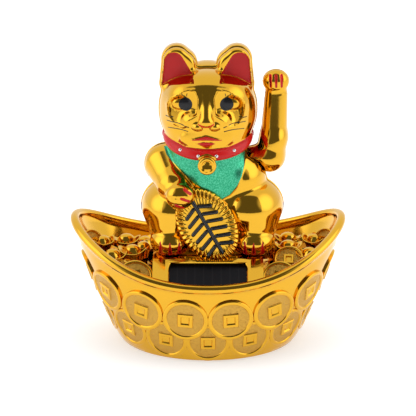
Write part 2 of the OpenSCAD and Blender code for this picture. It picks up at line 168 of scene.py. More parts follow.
def settle(field, p, limit):
    """Points moved along the gradient towards field = 0, by no more than limit."""
    g = slope(field, p)
    move = -field(p)[:, None] * g / np.maximum((g * g).sum(axis=-1), 0.05)[:, None]
    far = np.maximum(size_of(move) / limit, 1)[:, None]
    return (p + move / far).astype(np.float32)


# ---------- meshes ----------

class Build:
    """Vertices, faces, material numbers and paint of one piece, gathered from several shapes."""

    def __init__(self):
        self.points, self.faces, self.slots, self.paint, self.count = [], [], [], [], 0

    def add(self, points, faces, slot=0, paint=None):
        points = np.asarray(points, dtype=np.float64)
        if volume(points, faces) < 0:
            faces = [tuple(reversed(f)) for f in faces]
        self.points.append(points)
        self.faces += [tuple(int(i) + self.count for i in f) for f in faces]
        self.slots += list(slot) if hasattr(slot, "__len__") else [slot] * len(faces)
        self.paint.append(paint if paint is not None else np.full((len(points), 3), NO_PAINT))
        self.count += len(points)

    def make(self, name, body, replaced, materials, sharp=False):
        mesh = bpy.data.meshes.new(name)
        mesh.from_pydata((np.concatenate(self.points) * MM).tolist(), [], self.faces)
        for m in materials:
            mesh.materials.append(m)
        mesh.polygons.foreach_set("material_index", np.array(self.slots, dtype=np.int32))
        mesh.polygons.foreach_set("use_smooth", np.ones(len(self.faces), dtype=bool))
        paint = np.concatenate(self.paint)
        for i, colour in enumerate(("red", "green", "black")):
            layer = mesh.attributes.new("edge_" + colour, "FLOAT", "POINT")
            layer.data.foreach_set("value", paint[:, i].astype(np.float32))
        mesh.validate()
        if sharp:
            mesh.set_sharp_from_angle(angle=math.radians(SHARP_ANGLE))
        obj = bpy.data.objects.new(name, mesh)
        bpy.context.scene.collection.objects.link(obj)
        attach(obj, body)
        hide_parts(*replaced)
        return obj


def volume(points, faces):
    """Six times the volume inside a closed mesh, negative if it is inside out."""
    total = 0.0
    for size in (3, 4):
        same = [f for f in faces if len(f) == size]
        if same:
            f = np.array(same)
            for k in range(1, size - 1):
                a, b, c = points[f[:, 0]], points[f[:, k]], points[f[:, k + 1]]
                total += np.einsum("ij,ij->i", a, np.cross(b, c)).sum()
    for f in (f for f in faces if len(f) > 4):
        for k in range(1, len(f) - 1):
            total += points[f[0]] @ np.cross(points[f[k]], points[f[k + 1]])
    return total


def skin(rings, loop=False, caps=True):
    """Quads between rings of equal count; loop joins the last to the first, caps close both ends."""
    rings = np.asarray(rings, dtype=np.float64)
    k, n = rings.shape[:2]
    faces = []
    for r in range(k if loop else k - 1):
        s = (r + 1) % k
        faces += [(r * n + i, r * n + (i + 1) % n, s * n + (i + 1) % n, s * n + i) for i in range(n)]
    if caps and not loop:
        faces.append(tuple(range(n))[::-1])
        faces.append(tuple((k - 1) * n + i for i in range(n)))
    return rings.reshape(-1, 3), faces


# round end of a bead: how far beyond its path's end and how wide, as shares of its radius
BEAD_END = ((0.6, 0.75), (0.9, 0.25))


def tube(path, radius, sides):
    """A rounded bead along a path."""
    path = np.asarray(path, dtype=np.float64)
    rings = []
    turn = np.linspace(0, 2 * math.pi, sides, endpoint=False)
    last = len(path) - 1
    for i, p in enumerate(path):
        d = path[min(i + 1, last)] - path[max(i - 1, 0)]
        d /= np.linalg.norm(d)
        u = np.cross(d, (0.0, 1.0, 0.0) if abs(d[1]) < 0.9 else (1.0, 0.0, 0.0))
        u /= np.linalg.norm(u)
        v = np.cross(d, u)
        circle = np.outer(np.cos(turn), u) + np.outer(np.sin(turn), v)
        if i == 0:
            rings += [p - d * radius * out + circle * radius * wide for out, wide in BEAD_END[::-1]]
        rings.append(p + circle * radius)
        if i == last:
            rings += [p + d * radius * out + circle * radius * wide for out, wide in BEAD_END]
    return skin(rings)


# ---------- materials ----------

def principled(name, color, metallic, roughness):
    material = bpy.data.materials.new(name)
    material.use_nodes = True
    shader = material.node_tree.nodes["Principled BSDF"]
    for key, value in (("Base Color", (*color, 1)), ("Metallic", metallic), ("Roughness", roughness)):
        shader.inputs[key].default_value = value
    return material


def add_texture(material, kind, scale):
    """A texture in the object's own space."""
    nodes, links = material.node_tree.nodes, material.node_tree.links
    where = nodes.new("ShaderNodeTexCoord")
    texture = nodes.new(kind)
    texture.inputs["Scale"].default_value = scale
    links.new(where.outputs["Object"], texture.inputs["Vector"])
    return texture


def add_bump(material, scale, distance):
    """Fine relief from noise."""
    nodes, links = material.node_tree.nodes, material.node_tree.links
    texture = add_texture(material, "ShaderNodeTexNoise", scale)
    texture.inputs["Detail"].default_value = 3.0
    bump = nodes.new("ShaderNodeBump")
    bump.inputs["Strength"].default_value = 1.0
    bump.inputs["Distance"].default_value = distance
    links.new(texture.outputs[0], bump.inputs["Height"])
    links.new(bump.outputs["Normal"], nodes["Principled BSDF"].inputs["Normal"])
    return texture


def vary_roughness(material, texture, low, high):
    """Roughness that follows a texture, for smears and wear."""
    nodes, links = material.node_tree.nodes, material.node_tree.links
    spread = nodes.new("ShaderNodeMapRange")
    spread.inputs["To Min"].default_value = low
    spread.inputs["To Max"].default_value = high
    links.new(texture.outputs[0], spread.inputs["Value"])
    links.new(spread.outputs["Result"], nodes["Principled BSDF"].inputs["Roughness"])


GOLD = (0.76, 0.415, 0.035)
DULL_GOLD = (0.60, 0.34, 0.06)
RED = (0.60, 0.008, 0.008)
GREEN = (0.025, 0.32, 0.16)
GREEN_FLAKE = (0.10, 0.58, 0.34)
BLACK = (0.012, 0.012, 0.014)


def plated_gold(name, roughness, color=GOLD):
    """Gold plating whose roughness varies a little from place to place."""
    material = principled(name, color, 1.0, roughness)
    texture = add_bump(material, 260, 0.00001)
    vary_roughness(material, texture, roughness * 0.7, roughness * 1.5)
    return material


def painted_gold(name):
    """Plated gold with red, green and black paint where the mesh's edge_ attributes are below zero."""
    material = plated_gold(name, 0.07)
    nodes, links = material.node_tree.nodes, material.node_tree.links
    shader = nodes["Principled BSDF"]
    shader.inputs["Specular IOR Level"].default_value = 0.32
    rough_from = shader.inputs["Roughness"].links[0].from_socket
    color, metal, rough = None, None, rough_from
    flake = flakes(material, GREEN, GREEN_FLAKE)
    for paint, tint, metallic, roughness in (
        ("green", flake, 0.9, 0.3),
        ("red", (*RED, 1), 0.0, 0.30),
        ("black", (*BLACK, 1), 0.0, 0.26),
    ):
        edge = nodes.new("ShaderNodeAttribute")
        edge.attribute_name = "edge_" + paint
        mask = nodes.new("ShaderNodeMapRange")
        mask.interpolation_type = "SMOOTHSTEP"
        mask.inputs["From Min"].default_value = 0.05
        mask.inputs["From Max"].default_value = -0.05
        links.new(edge.outputs["Fac"], mask.inputs["Value"])
        color = mix(material, "RGBA", mask, color or (*GOLD, 1), tint)
        metal = mix(material, "FLOAT", mask, metal if metal is not None else 1.0, metallic)
        rough = mix(material, "FLOAT", mask, rough, roughness)
    links.new(color, shader.inputs["Base Color"])
    links.new(metal, shader.inputs["Metallic"])
    links.new(rough, shader.inputs["Roughness"])
    return material


def flakes(material, dark, light):
    """Colour of metallic paint, speckled between dark and light."""
    nodes, links = material.node_tree.nodes, material.node_tree.links
    noise = add_texture(material, "ShaderNodeTexNoise", 3200)
    noise.inputs["Detail"].default_value = 0.0
    spread = nodes.new("ShaderNodeMapRange")
    spread.inputs["From Min"].default_value = 0.35
    spread.inputs["From Max"].default_value = 0.75
    links.new(noise.outputs["Fac"], spread.inputs["Value"])
    return mix(material, "RGBA", spread, (*dark, 1), (*light, 1))


def mix(material, kind, mask, a, b):
    """A mix node of two values or sockets, led by a mask node's result."""
    nodes, links = material.node_tree.nodes, material.node_tree.links
    node = nodes.new("ShaderNodeMix")
    node.data_type = kind
    first, second = [s for s in node.inputs if s.enabled and s.name in ("A", "B")]
    links.new(mask.outputs["Result"], node.inputs["Factor"])
    for socket, value in ((first, a), (second, b)):
        if isinstance(value, bpy.types.NodeSocket):
            links.new(value, socket)
        else:
            socket.default_value = value
    return [s for s in node.outputs if s.enabled][0]


gold = plated_gold("plated_gold", 0.09)
gold_stipple = plated_gold("stippled_gold", 0.34, DULL_GOLD)
gold_painted = painted_gold("painted_gold")
black_enamel = principled("black_enamel", BLACK, 0.0, 0.2)
silver_paint = principled("silver_paint", (0.75, 0.75, 0.78), 0.9, 0.25)


def stipple(material):
    """Tiny dots struck into the field of a coin."""
    nodes = material.node_tree.nodes
    for node in nodes:
        if node.bl_idname == "ShaderNodeBump":
            node.inputs["Distance"].default_value = 0.00034
        if node.bl_idname == "ShaderNodeTexNoise":
            node.inputs["Scale"].default_value = 1900
            node.inputs["Detail"].default_value = 1.0


stipple(gold_stipple)


# ---------- ingot base ----------

def rim_z(a):
    return RIM_LOW + (RIM_HIGH - RIM_LOW) * np.abs(np.cos(a)) ** RIM_SWEEP


def wall(a, t, inset=0.0, lift=0.0):
    """Points of the base's wall at turn a and share t of the rim's height."""
    half_x = FOOT_X + (RIM_X - FOOT_X) * t ** WALL_BULGE - inset
    half_y = FOOT_Y + (RIM_Y - FOOT_Y) * t ** WALL_BULGE - inset
    return np.stack([half_x * np.cos(a), half_y * np.sin(a), t * rim_z(a) + lift], axis=-1)


def wall_ring(turn, t, inset=0.0, lift=0.0):
    """The wall's outline at one share of the rim's height."""
    return wall(turn, np.full_like(turn, t), inset, lift)


def wall_frame(a, t):
    """Point, direction round, direction up and outward normal of the wall."""
    step = 1e-3
    round_ = (wall(a + step, t) - wall(a - step, t)) / (2 * step)
    up = (wall(a, t + step) - wall(a, t - step)) / (2 * step)
    out = np.cross(round_, up)
    return wall(a, t), round_, up, out / np.linalg.norm(out, axis=-1, keepdims=True)


def square_ring(half, turn):
    """Offsets of a square at each turn."""
    reach = half / np.maximum(np.abs(np.cos(turn)), np.abs(np.sin(turn)))
    return np.stack([reach * np.cos(turn), reach * np.sin(turn)], axis=-1)


# rows of relief coins: how many, where the first one is (in coins from the front), share of the
# rim's height, radius, height over the wall, height of the rolled ring
COIN_ROWS = (
    (15, 0.5, 0.58, 7.4, 0.2, 0.36),
    (14, 0, 0.265, 7.2, -0.24, 0.34),
)


def coin_turn(i, n):
    """Turn of a relief coin, counted from the front and evened out along the oval."""
    share = 2 * math.pi * i / n
    return share - math.pi / 2 - 0.058 * math.sin(2 * share)


COIN_TURN = np.linspace(0, 2 * math.pi, 64, endpoint=False)
COIN_CIRCLE = np.stack([np.cos(COIN_TURN), np.sin(COIN_TURN)], axis=-1)
# a coin's rolled ring: shares of the coin's radius and of the ring's height
COIN_RING = ((0.82, 0.6), (0.84, 0.87), (0.88, 1.0), (0.94, 0.97), (0.975, 0.75), (0.995, 0.3))


def coin_profile(r, base, ring=0.45):
    """Rings of a coin's face from the hole outwards: (outline, height, material)."""
    hole, frame_half = 0.17 * r, 0.34 * r
    field = base + 0.3
    top = field + ring
    steps = [
        (square_ring(hole * 0.9, COIN_TURN), field - 0.05, 0),
        (square_ring(hole, COIN_TURN), field + 0.05, 0),
        (square_ring(hole * 1.06, COIN_TURN), top - 0.1, 0),
        (square_ring(hole * 1.16, COIN_TURN), top, 0),
        (square_ring(frame_half * 0.92, COIN_TURN), top, 0),
        (square_ring(frame_half * 0.98, COIN_TURN), top - 0.12, 0),
        (square_ring(frame_half * 1.02, COIN_TURN), field, 1),
    ]
    for share in (0.35, 0.7, 1.0):
        outline = square_ring(frame_half * 1.02, COIN_TURN) * (1 - share) + COIN_CIRCLE * 0.80 * r * share
        steps.append((outline, field, 1))
    for share, height in COIN_RING:
        steps.append((COIN_CIRCLE * share * r, field + ring * height, 0))
    steps.append((COIN_CIRCLE * r, base - 0.5, 0))
    return steps


def wall_coin(build, a0, t0, r, base, ring):
    """A relief coin that follows the curve of the wall."""
    centre, round0, _, out0 = wall_frame(np.array(a0), np.array(t0))
    side = round0 / np.linalg.norm(round0)
    rise = np.cross(out0, side)
    rings, slots = [], []
    for outline, height, slot in coin_profile(r, base, ring):
        target = centre + outline[:, :1] * side + outline[:, 1:] * rise
        # a few Newton steps find where the wall passes under each point of the outline
        a = np.full(len(outline), a0)
        t = np.full(len(outline), t0)
        for _ in range(4):
            point, ra, ut, out = wall_frame(a, t)
            miss = target - point
            miss -= (miss @ out0)[:, None] * out0
            gram = np.stack([ra @ side, ut @ side, ra @ rise, ut @ rise], axis=-1)
            det = gram[:, 0] * gram[:, 3] - gram[:, 1] * gram[:, 2]
            mu, mv = miss @ side, miss @ rise
            a = a + (gram[:, 3] * mu - gram[:, 1] * mv) / det
            t = t + (gram[:, 0] * mv - gram[:, 2] * mu) / det
        point, _, _, out = wall_frame(a, t)
        rings.append(point + out * height)
        slots += [slot] * len(outline)
    points, faces = skin(rings)
    count = len(COIN_TURN)
    face_slots = slots[count:] + [0, 0]
    build.add(points, faces, face_slots)


def make_base():
    """The hollow bowl: up the outside, round the rolled rim and down the inside, then the coins."""
    build = Build()
    turn = np.linspace(0, 2 * math.pi, 240, endpoint=False)
    levels = np.linspace(0, 1, 25)
    rings = [wall_ring(turn, 0.0, 0.35), wall_ring(turn, 0.004, 0.1)]
    rings += [wall_ring(turn, t) for t in levels[1:-1] * 0.97]
    for step in np.radians(np.linspace(-60, 200, 14)):
        reach = RIM_ROLL * math.cos(step)
        rings.append(wall_ring(turn, 1.0, 0.75 - reach, 0.1 + RIM_ROLL * math.sin(step)))
    rings += [wall_ring(turn, t, WALL) for t in levels[::-1][1:]]
    points, faces = skin(rings, loop=True)
    build.add(points, faces)
    for count, first, share, r, base, ring in COIN_ROWS:
        for i in range(count):
            wall_coin(build, coin_turn(i + first, count), share, r, base, ring)
    return build.make("ingot_base", "base", ["ingot_bowl"], [gold, gold_stipple], sharp=True)


# ---------- treasure ----------

def placed(points, place, tilt_x=0.0, tilt_y=0.0, turn=0.0):
    """Points turned about Z, then tilted about X and Y, and moved to a place."""
    m = Matrix.Translation(place) @ Matrix.Rotation(math.radians(tilt_y), 4, "Y")
    m = m @ Matrix.Rotation(math.radians(tilt_x), 4, "X") @ Matrix.Rotation(math.radians(turn), 4, "Z")
    m = np.array(m)
    return points @ m[:3, :3].T + m[:3, 3]


def loose_coin(build, place, tilt_x, tilt_y, r, turn=0.0, thick=1.5):
    """A whole coin, face up until it is tilted."""
    steps = coin_profile(r, 0.0)
    rings = [np.column_stack([o, np.full(len(o), h)]) for o, h, _ in steps[:-1]]
    slots = [s for _, _, s in steps[:-1] for _ in COIN_TURN]
    circle = COIN_CIRCLE * r
    for height in (0.25, -thick * 0.8, -thick):
        share = 0.97 if height == -thick else 1.0
        rings.append(np.column_stack([circle * share, np.full(len(circle), height)]))
        slots += [0] * len(circle)
    points, faces = skin(rings)
    build.add(placed(points, place, tilt_x, tilt_y, turn), faces, slots[len(COIN_TURN):] + [0, 0])


# rings of a small ingot from its foot to the top of its dome: half length, half depth, height,
# and how much the ends rise
INGOT_RINGS = (
    (2.6, 1.7, -2.2, 0), (3.0, 2.1, -2.0, 0), (3.9, 2.8, -0.4, 0.3), (5.0, 3.6, 1.0, 1.0),
    (5.1, 3.65, 1.25, 1.0), (4.8, 3.4, 1.35, 0.95), (4.1, 2.9, 1.1, 0.7), (3.4, 2.7, 1.0, 0),
    (3.1, 2.6, 1.6, 0), (2.8, 2.4, 2.3, 0), (2.2, 1.9, 3.1, 0), (1.3, 1.1, 3.6, 0), (0.4, 0.4, 3.8, 0),
)


def small_ingot(build, place, turn, size):
    """A boat with raised ends and a dome in the middle."""
    a = np.linspace(0, 2 * math.pi, 40, endpoint=False)
    saddle = 1.7 * np.abs(np.cos(a)) ** 3
    rings = []
    for x, y, z, rise in INGOT_RINGS:
        rings.append(np.column_stack([x * np.cos(a), y * np.sin(a), z + saddle * rise]) * size)
    points, faces = skin(rings)
    build.add(placed(points, place, turn=turn), faces)


FACET_TOP = (-15.5, 31.5)              # y and z of the facet's upper edge
FACET_ANGLE = 37.0
FACET_LONG = 14.6
WINDOW = (25.4, 12.0)
WINDOW_DOWN = 1.6 + WINDOW[1] / 2      # centre of the window, down the facet
# the window's edge from the facet inwards: how much wider than the window, depth, corner radius
WINDOW_STEPS = (
    (0.25, 0.0, 0.8), (0.0, 0.25, 0.7), (0.0, 1.62, 0.7), (1.15, 1.62, 0.3), (1.15, 3.0, 0.3),
)
PLINTH_X = 18.0
PLINTH_IN = 13.95                      # reaches 0.05 into the plinth's cheeks
PLINTH_BACK = 15.0
PLINTH_TOP = 31.5
DECK_Z = 18.6
BOX_POINTS = 48


def facet_point(x, down, depth):
    """Point on the sloping facet: down the slope from its upper edge, and depth under its face."""
    c, s = math.cos(math.radians(FACET_ANGLE)), math.sin(math.radians(FACET_ANGLE))
    y = FACET_TOP[0] - down * c + depth * s
    z = FACET_TOP[1] - down * s - depth * c
    return np.stack([x, y, z], axis=-1)


def rounded_box(half_u, half_v, r):
    """Outline of a box with round corners."""
    a = np.linspace(0, 2 * math.pi, BOX_POINTS, endpoint=False) + math.pi / BOX_POINTS
    reach = 1 / np.maximum(np.abs(np.cos(a)) / half_u, np.abs(np.sin(a)) / half_v)
    u, v = reach * np.cos(a), reach * np.sin(a)
    iu, iv = np.clip(u, r - half_u, half_u - r), np.clip(v, r - half_v, half_v - r)
    du, dv = u - iu, v - iv
    scale = r / np.maximum(np.hypot(du, dv), r)
    return iu + du * scale, iv + dv * scale


def slab(build, low, high):
    """A plain block between two corners."""
    (x0, y0, z0), (x1, y1, z1) = low, high
    points, faces = skin([[(x0, y0, z), (x1, y0, z), (x1, y1, z), (x0, y1, z)] for z in (z0, z1)])
    build.add(points, faces)


def plinth(build):
    """The block under the cat, with the facet that frames the cell's window."""
    foot = facet_point(np.array(0.0), FACET_LONG, 0.0)
    section = [(PLINTH_BACK, DECK_Z), (PLINTH_BACK, 31.2), (14.7, PLINTH_TOP),
               (FACET_TOP[0] + 0.3, PLINTH_TOP), (FACET_TOP[0] - 0.2, 31.38),
               (float(foot[1]), float(foot[2])), (float(foot[1]), DECK_Z)]
    for side in (-1, 1):
        points, faces = skin([[(side * x, y, z) for y, z in section] for x in (13.9, PLINTH_X)])
        build.add(points, faces)
    # the top and the back wall between the cheeks
    slab(build, (-PLINTH_IN, -15.3, 27.6), (PLINTH_IN, 14.9, PLINTH_TOP))
    slab(build, (-PLINTH_IN, 13.4, DECK_Z), (PLINTH_IN, PLINTH_BACK, 27.7))
    # the facet, down through its window
    u, v = rounded_box(PLINTH_IN, FACET_LONG / 2, 0.05)
    under = facet_point(u, FACET_LONG / 2 - v, 3.4)
    under[:, 2] = np.minimum(under[:, 2], 28.0)
    loops = [under, facet_point(u, FACET_LONG / 2 - v, 0.0)]
    for grow, depth, r in WINDOW_STEPS:
        u, v = rounded_box(WINDOW[0] / 2 + grow, WINDOW[1] / 2 + min(grow, 0.8), r)
        loops.append(facet_point(u, WINDOW_DOWN - v, depth))
    points, faces = skin(loops)
    build.add(points, faces)


def heap_z(x, y):
    """Height of the heap that the treasure rests on, rising to both tips."""
    lumps = 0.7 * np.sin(0.9 * x + 1.3) * np.sin(1.1 * y) + 0.5 * np.sin(1.7 * x) * np.sin(1.4 * y + 2)
    rise = 4.5 * np.clip((np.abs(x) - 14) / 16, 0, 1) + 4.2 * np.clip((np.abs(x) - 28) / 14, 0, 1)
    return 20.6 + rise + lumps * np.clip(np.abs(x) / 10 - 0.8, 0.2, 1)


def heap(build):
    """The mound inside the wall, cut off level with the deck."""
    a = np.linspace(0, 2 * math.pi, 96, endpoint=False)
    z = np.full(len(a), 22.0)
    for _ in range(4):
        edge = wall(a, z / rim_z(a), WALL - 0.3)
        z = heap_z(edge[:, 0], edge[:, 1])
    rings = []
    for share in np.linspace(0.05, 1, 14):
        x, y = edge[:, 0] * share, edge[:, 1] * share
        rings.append(np.column_stack([x, y, heap_z(x, y)]))
    bottom = wall(a, DECK_Z / rim_z(a), WALL - 0.3)
    centre = np.column_stack([bottom[:, :2] * 0.05, bottom[:, 2]])
    points, faces = skin(rings + [bottom, centre])
    build.add(points, faces)


# coins that lie loose: place, tilt about X and Y, radius
LOOSE_COINS = (
    ((-23.6, -18.0, 26.2), 44, 6, 5.8), ((-28.8, -14.0, 27.0), 24, 8, 4.6),
    ((-38.0, -3, 33.0), 30, 50, 4.6), ((-33.5, 5, 31.2), -22, 24, 5.0),
    ((-24, 13, 28.4), -24, 8, 5.2), ((-20, -21, 23.6), 30, 6, 4.8),
    ((23.2, -18.4, 26.0), 44, -6, 5.8), ((26.6, -9.6, 29.2), 40, -8, 5.0),
    ((38.2, -2.4, 33.2), 30, -50, 4.6), ((32, 8, 30.6), -20, -22, 5.0),
    ((24, 14, 28), -26, -8, 5.2), ((19.8, -21.2, 23.8), 30, -6, 4.6),
    ((-13, 21.5, 22.6), -20, -8, 5.2), ((-3, 20.5, 22.4), -12, 10, 5.0),
    ((7, 21.5, 22.6), -20, -6, 5.2), ((15.5, 19.8, 23.4), -16, 10, 4.8),
    ((-18.5, 18.5, 24.2), -18, 12, 4.6),
)
STACK = 4                              # thin coins in the stack among the ingots
# ingots: place, turn, size
INGOTS = (
    ((-31.6, -8.6, 28.8), 24, 1.0), ((-25.0, -6.0, 29.6), -14, 0.95), ((-35.0, -1.4, 31.6), 40, 0.85),
    ((-27.5, 4.5, 30.0), 8, 0.95), ((33.6, -8.2, 29.2), -28, 1.0), ((26.6, -3.0, 30.2), 12, 0.95),
    ((35.2, -0.8, 32.0), -40, 0.85), ((27.0, 6.0, 30.0), -8, 0.95), ((-21.6, -2.0, 29.6), 70, 0.9),
    ((21.8, -2.0, 29.4), -60, 0.9), ((-21.5, 8, 28.2), 60, 0.9), ((21.5, 9, 28.2), -60, 0.9),
)


def make_deck():
    build = Build()
    plinth(build)
    heap(build)
    for place, tilt_x, tilt_y, r in LOOSE_COINS:
        loose_coin(build, place, tilt_x, tilt_y, r, turn=3 * place[0])
    for k in range(STACK):
        loose_coin(build, (-26.4 - 0.4 * k, -10.6 - 0.5 * k, 28.6 - 0.75 * k), 14, 6, 3.9, thick=0.6)
    for place, turn, size in INGOTS:
        small_ingot(build, place, turn, size)
    return build.make("treasure", "base", ["treasure_deck"], [gold, gold_stipple], sharp=True)


# ---------- cat ----------

def torso(p):
    x, y, z = p.T
    d = ball(p, (0, -0.4, 60), (13.6, 13.0, 10))
    d = join(d, ball(p, (0, 0.3, 46), (16, 13.6, 15)), 5)
    # the seat, full down to the plinth
    seat = (np.cbrt((np.abs(x) / 16.5) ** 3 + (np.abs(y - 0.6) / 13.2) ** 3) - 1) * 13.2
    d = join(d, np.maximum(seat, z - 40), 2)
    return join(d, ball(p, (10.6, 0.6, 55.5), (8.8, 11.4, 9.4)), 2.5)


def plaque_arm(p):
    """The arm that holds the plaque."""
    d = limb(p, (-13.7, -0.8, 59.4), (-11.2, -8.6, 54.8), 7.1, 5.3)
    d = join(d, limb(p, (-11.2, -8.6, 54.8), (-8.6, -12.8, 52.6), 5.3, 4.2), 1.2)
    return join(d, ball(p, (-9.4, -13.4, 52.6), (4.4, 3.4, 4.2)), 1.0)


def legs(p):
    d = ball(p, (13.4, -0.6, 45.4), (11.5, 13.6, 10.0))
    d = np.minimum(d, ball(p, (-11.4, -0.6, 45.2), (10.6, 13.4, 9.8)))
    for x, wide in ((15.4, 7.8), (-12.8, 7.4)):
        d = join(d, ball(p, (x, -1.3, 40.5), (wide, 12.6, 9.5)), 1.2)
        d = join(d, ball(p, (x - 0.4 * np.sign(x), -8.8, 35.6), (wide - 0.7, 7.2, 5.0)), 0.7)
    return d


def head_form(p):
    d = ball(p, (0, 0.3, 80.1), (15.7, 14.6, 11.7))
    d = join(d, ball(p, (0, -0.3, 75), (15.3, 14.0, 10.4)), 3)
    forehead = ball(p, (FACE_X, -4.8, 81.6), (17, 9.7, 9.7))
    d = join(d, meet(forehead, ball(p, (0, 0, 80.5), (14.6, 22, 14)), 2.0), 1.5)
    return join(d, limb(p, (0, -0.4, 63), (0, -0.4, 71), 13.4, 13.6), 2)


def smooth_form(p):
    """The cat without ears, face, collar, bell and tail, which the shell's inside follows."""
    d = join(torso(p), legs(p), 1.0)
    d = join(d, plaque_arm(p), 0.7)
    return join(d, head_form(p), 1.5)


EAR_MID = -0.4      # the ears are even about this plane
EAR_BACK = -1.7     # y of the red panel in the ear
EAR_HALF = 3.9      # half the ear's thickness
# discs that span the ear's outline and its red panel: x from the middle, z, radius
EAR_DISCS = ((9.8, 94.2, 4.15), (8.1, 92.6, 4.3), (6.6, 87.5, 3.3), (12.1, 86.5, 2.6))
PANEL_DISCS = ((10.6, 94.2, 3.1), (6.9, 88.4, 2.9), (11.6, 86.5, 2.95))


def ear_shape(u, v, discs):
    """Distance in a plane to a pointed arch spanned between discs."""
    d = np.full(u.shape, 1e9)
    for (ua, va, ra), (ub, vb, rb) in zip(discs, discs[1:] + discs[:1]):
        d = np.minimum(d, stroke(u, v, (ua, va), (ub, vb), ra, rb))
    return d


def ear_panel(x, z, side):
    return ear_shape(side * (x - EAR_MID), z, PANEL_DISCS)


def ear_floor(x):
    """Height where the ear's hollow meets the head."""
    return 89.6 - 0.037 * np.maximum(np.abs(x - EAR_MID) - 5, 0) ** 2


def ear(p, side):
    """An ear, and the hollow that is cut into its front."""
    x, y, z = p.T
    swell = 0.65 * np.clip((y + 3) / 4, 0, 1)
    plan = ear_shape(side * (x - EAR_MID), z, EAR_DISCS) - swell
    across = np.abs(y - 0.6) - EAR_HALF
    q = np.maximum(np.stack([plan + 1.3, across + 1.3], axis=-1), 0)
    d = size_of(q) - 1.3 + np.minimum(np.maximum(plan, across) + 1.3, 0)
    scoop = meet(ear_panel(x, z, side), y - EAR_BACK, 0.3)
    return d, meet(scoop, ear_floor(x) + 0.1 * (y - EAR_BACK) - z, 0.3)


EYES = (FACE_X - 6.6, FACE_X + 6.6)
EYE_Z = 82.3
# outline of an eye socket, x counted outwards from the nose
SOCKET = [(2.6, 84.6), (3.7, 86.9), (7.0, 86.4), (11.2, 84.0), (12.4, 82.0), (12.0, 78.6), (10.4, 76.0),
          (7.4, 75.2), (5.4, 77.4), (3.0, 79.4)]
UPPER_LIP = [(FACE_X - 5.8, 70.8), (FACE_X, 72.5), (FACE_X + 5.8, 70.8), (FACE_X, 71.2)]
LOWER_LIP = [(FACE_X - 3.6, 70.1), (FACE_X, 70.5), (FACE_X + 3.6, 70.1), (FACE_X, 69.0)]


def lips_edge(x, z):
    return np.minimum(polygon(x, z, UPPER_LIP), polygon(x, z, LOWER_LIP))


def face(p, d):
    """Sockets, eyes, cheeks, nose, muzzle and lips."""
    x, y, z = p.T
    for side in (-1, 1):
        u = side * (x - FACE_X)
        edge = np.maximum(polygon(u, z, SOCKET), y + 4)
        flare = 0.05 * (84 - z) + 0.2 * np.maximum(80.5 - z, 0) ** 1.25
        back = 0.407 * u - 0.914 * y - 12.8 - flare
        d = d - 0.25 * np.exp(-(edge / 0.6) ** 2)
        d = cut(d, meet(edge, -back, 0.3), 0.35)
    for side in (-1, 1):
        d = join(d, ball(p, (FACE_X + side * 6.8, -10.0, EYE_Z), (4.3, 1.7, 2.6)), 0.25)
        d = join(d, ball(p, (FACE_X + side * 4.8, -12.0, 77.2), (2.9, 2.3, 2.6)), 1.6)
        d = join(d, ball(p, (FACE_X + side * 2.6, -14.2, 75.5), (1.8, 1.6, 1.2)), 0.8)
    d = join(d, limb(p, (FACE_X, -12.2, 85.0), (FACE_X, -15.2, 78.2), 1.8, 2.1), 0.8)
    d = join(d, ball(p, (FACE_X, -15.8, 77.4), (2.6, 1.9, 1.8)), 0.5)
    d = join(d, ball(p, (FACE_X, -11.9, 71.0), (8.0, 2.1, 3.2)), 2.0)
    lips = np.maximum(lips_edge(x, z), y + 12)
    return d - 0.3 * np.clip(0.5 - (lips + 0.1) / 0.7, 0, 1)


COLLAR_Z = 69.7
COLLAR_SLOPE = 0.255     # the collar rises towards the back, then runs level


def collar(p):
    x, y, z = p.T
    out = (np.hypot(x / 13.3, (y + 0.4) / 14.0) - 1) * 13.6
    up = (z - COLLAR_Z - COLLAR_SLOPE * np.minimum(y + 0.4, 3)) * 0.97
    return (np.hypot(out / 1.5, up / 1.75) - 1) * 1.5


BELL = (FACE_X + 0.3, -16.6, 63.5)


def bell(p):
    """A ball with a raised ring round a shallow dome at its front."""
    x, y, z = (p - np.array(BELL, dtype=np.float32)).T
    d = ball(p, (BELL[0], BELL[1] + 0.5, BELL[2]), (2.9, 1.9, 2.9))
    d = np.minimum(d, np.hypot(np.hypot(x, z) - 2.3, y + 1.1) - 0.7)
    dome = size_of(np.stack([x, y - 2.5, z + 1.7], axis=-1)) - 4.3
    return np.minimum(d, meet(dome, np.hypot(x, z) - 1.75, 0.2))


PLAQUE = np.array((-0.3, -13.6, 42.6), dtype=np.float32)
PLAQUE_HALF = (9.2, 13.1)
PLAQUE_TILT = math.radians(30)
PLAQUE_LEAN = 0.09
PLAQUE_RIDGES = 44
RIDGE_HEIGHT = 0.3
# rings of the plaque from its back to the middle of its face: share of its half width, height,
# share of the ridges' height
PLAQUE_RINGS = (
    (0.9, -3.4, 0), (1.0, -3.2, 0), (1.0, 0.8, 0), (0.995, 1.1, 0.3), (0.98, 1.4, 0.7), (0.955, 1.7, 1),
    (0.86, 1.9, 1), (0.79, 2.0, 1), (0.76, 1.95, 0.4), (0.74, 1.9, 0), (0.6, 2.1, 0), (0.3, 2.25, 0),
    (0.02, 2.3, 0),
)


def on_plaque(u, v, w):
    """Points across, along and out of the plaque's face."""
    x = u * math.cos(PLAQUE_TILT) - v * math.sin(PLAQUE_TILT)
    z = u * math.sin(PLAQUE_TILT) + v * math.cos(PLAQUE_TILT)
    return PLAQUE + np.stack([x, PLAQUE_LEAN * z - w, z], axis=-1)


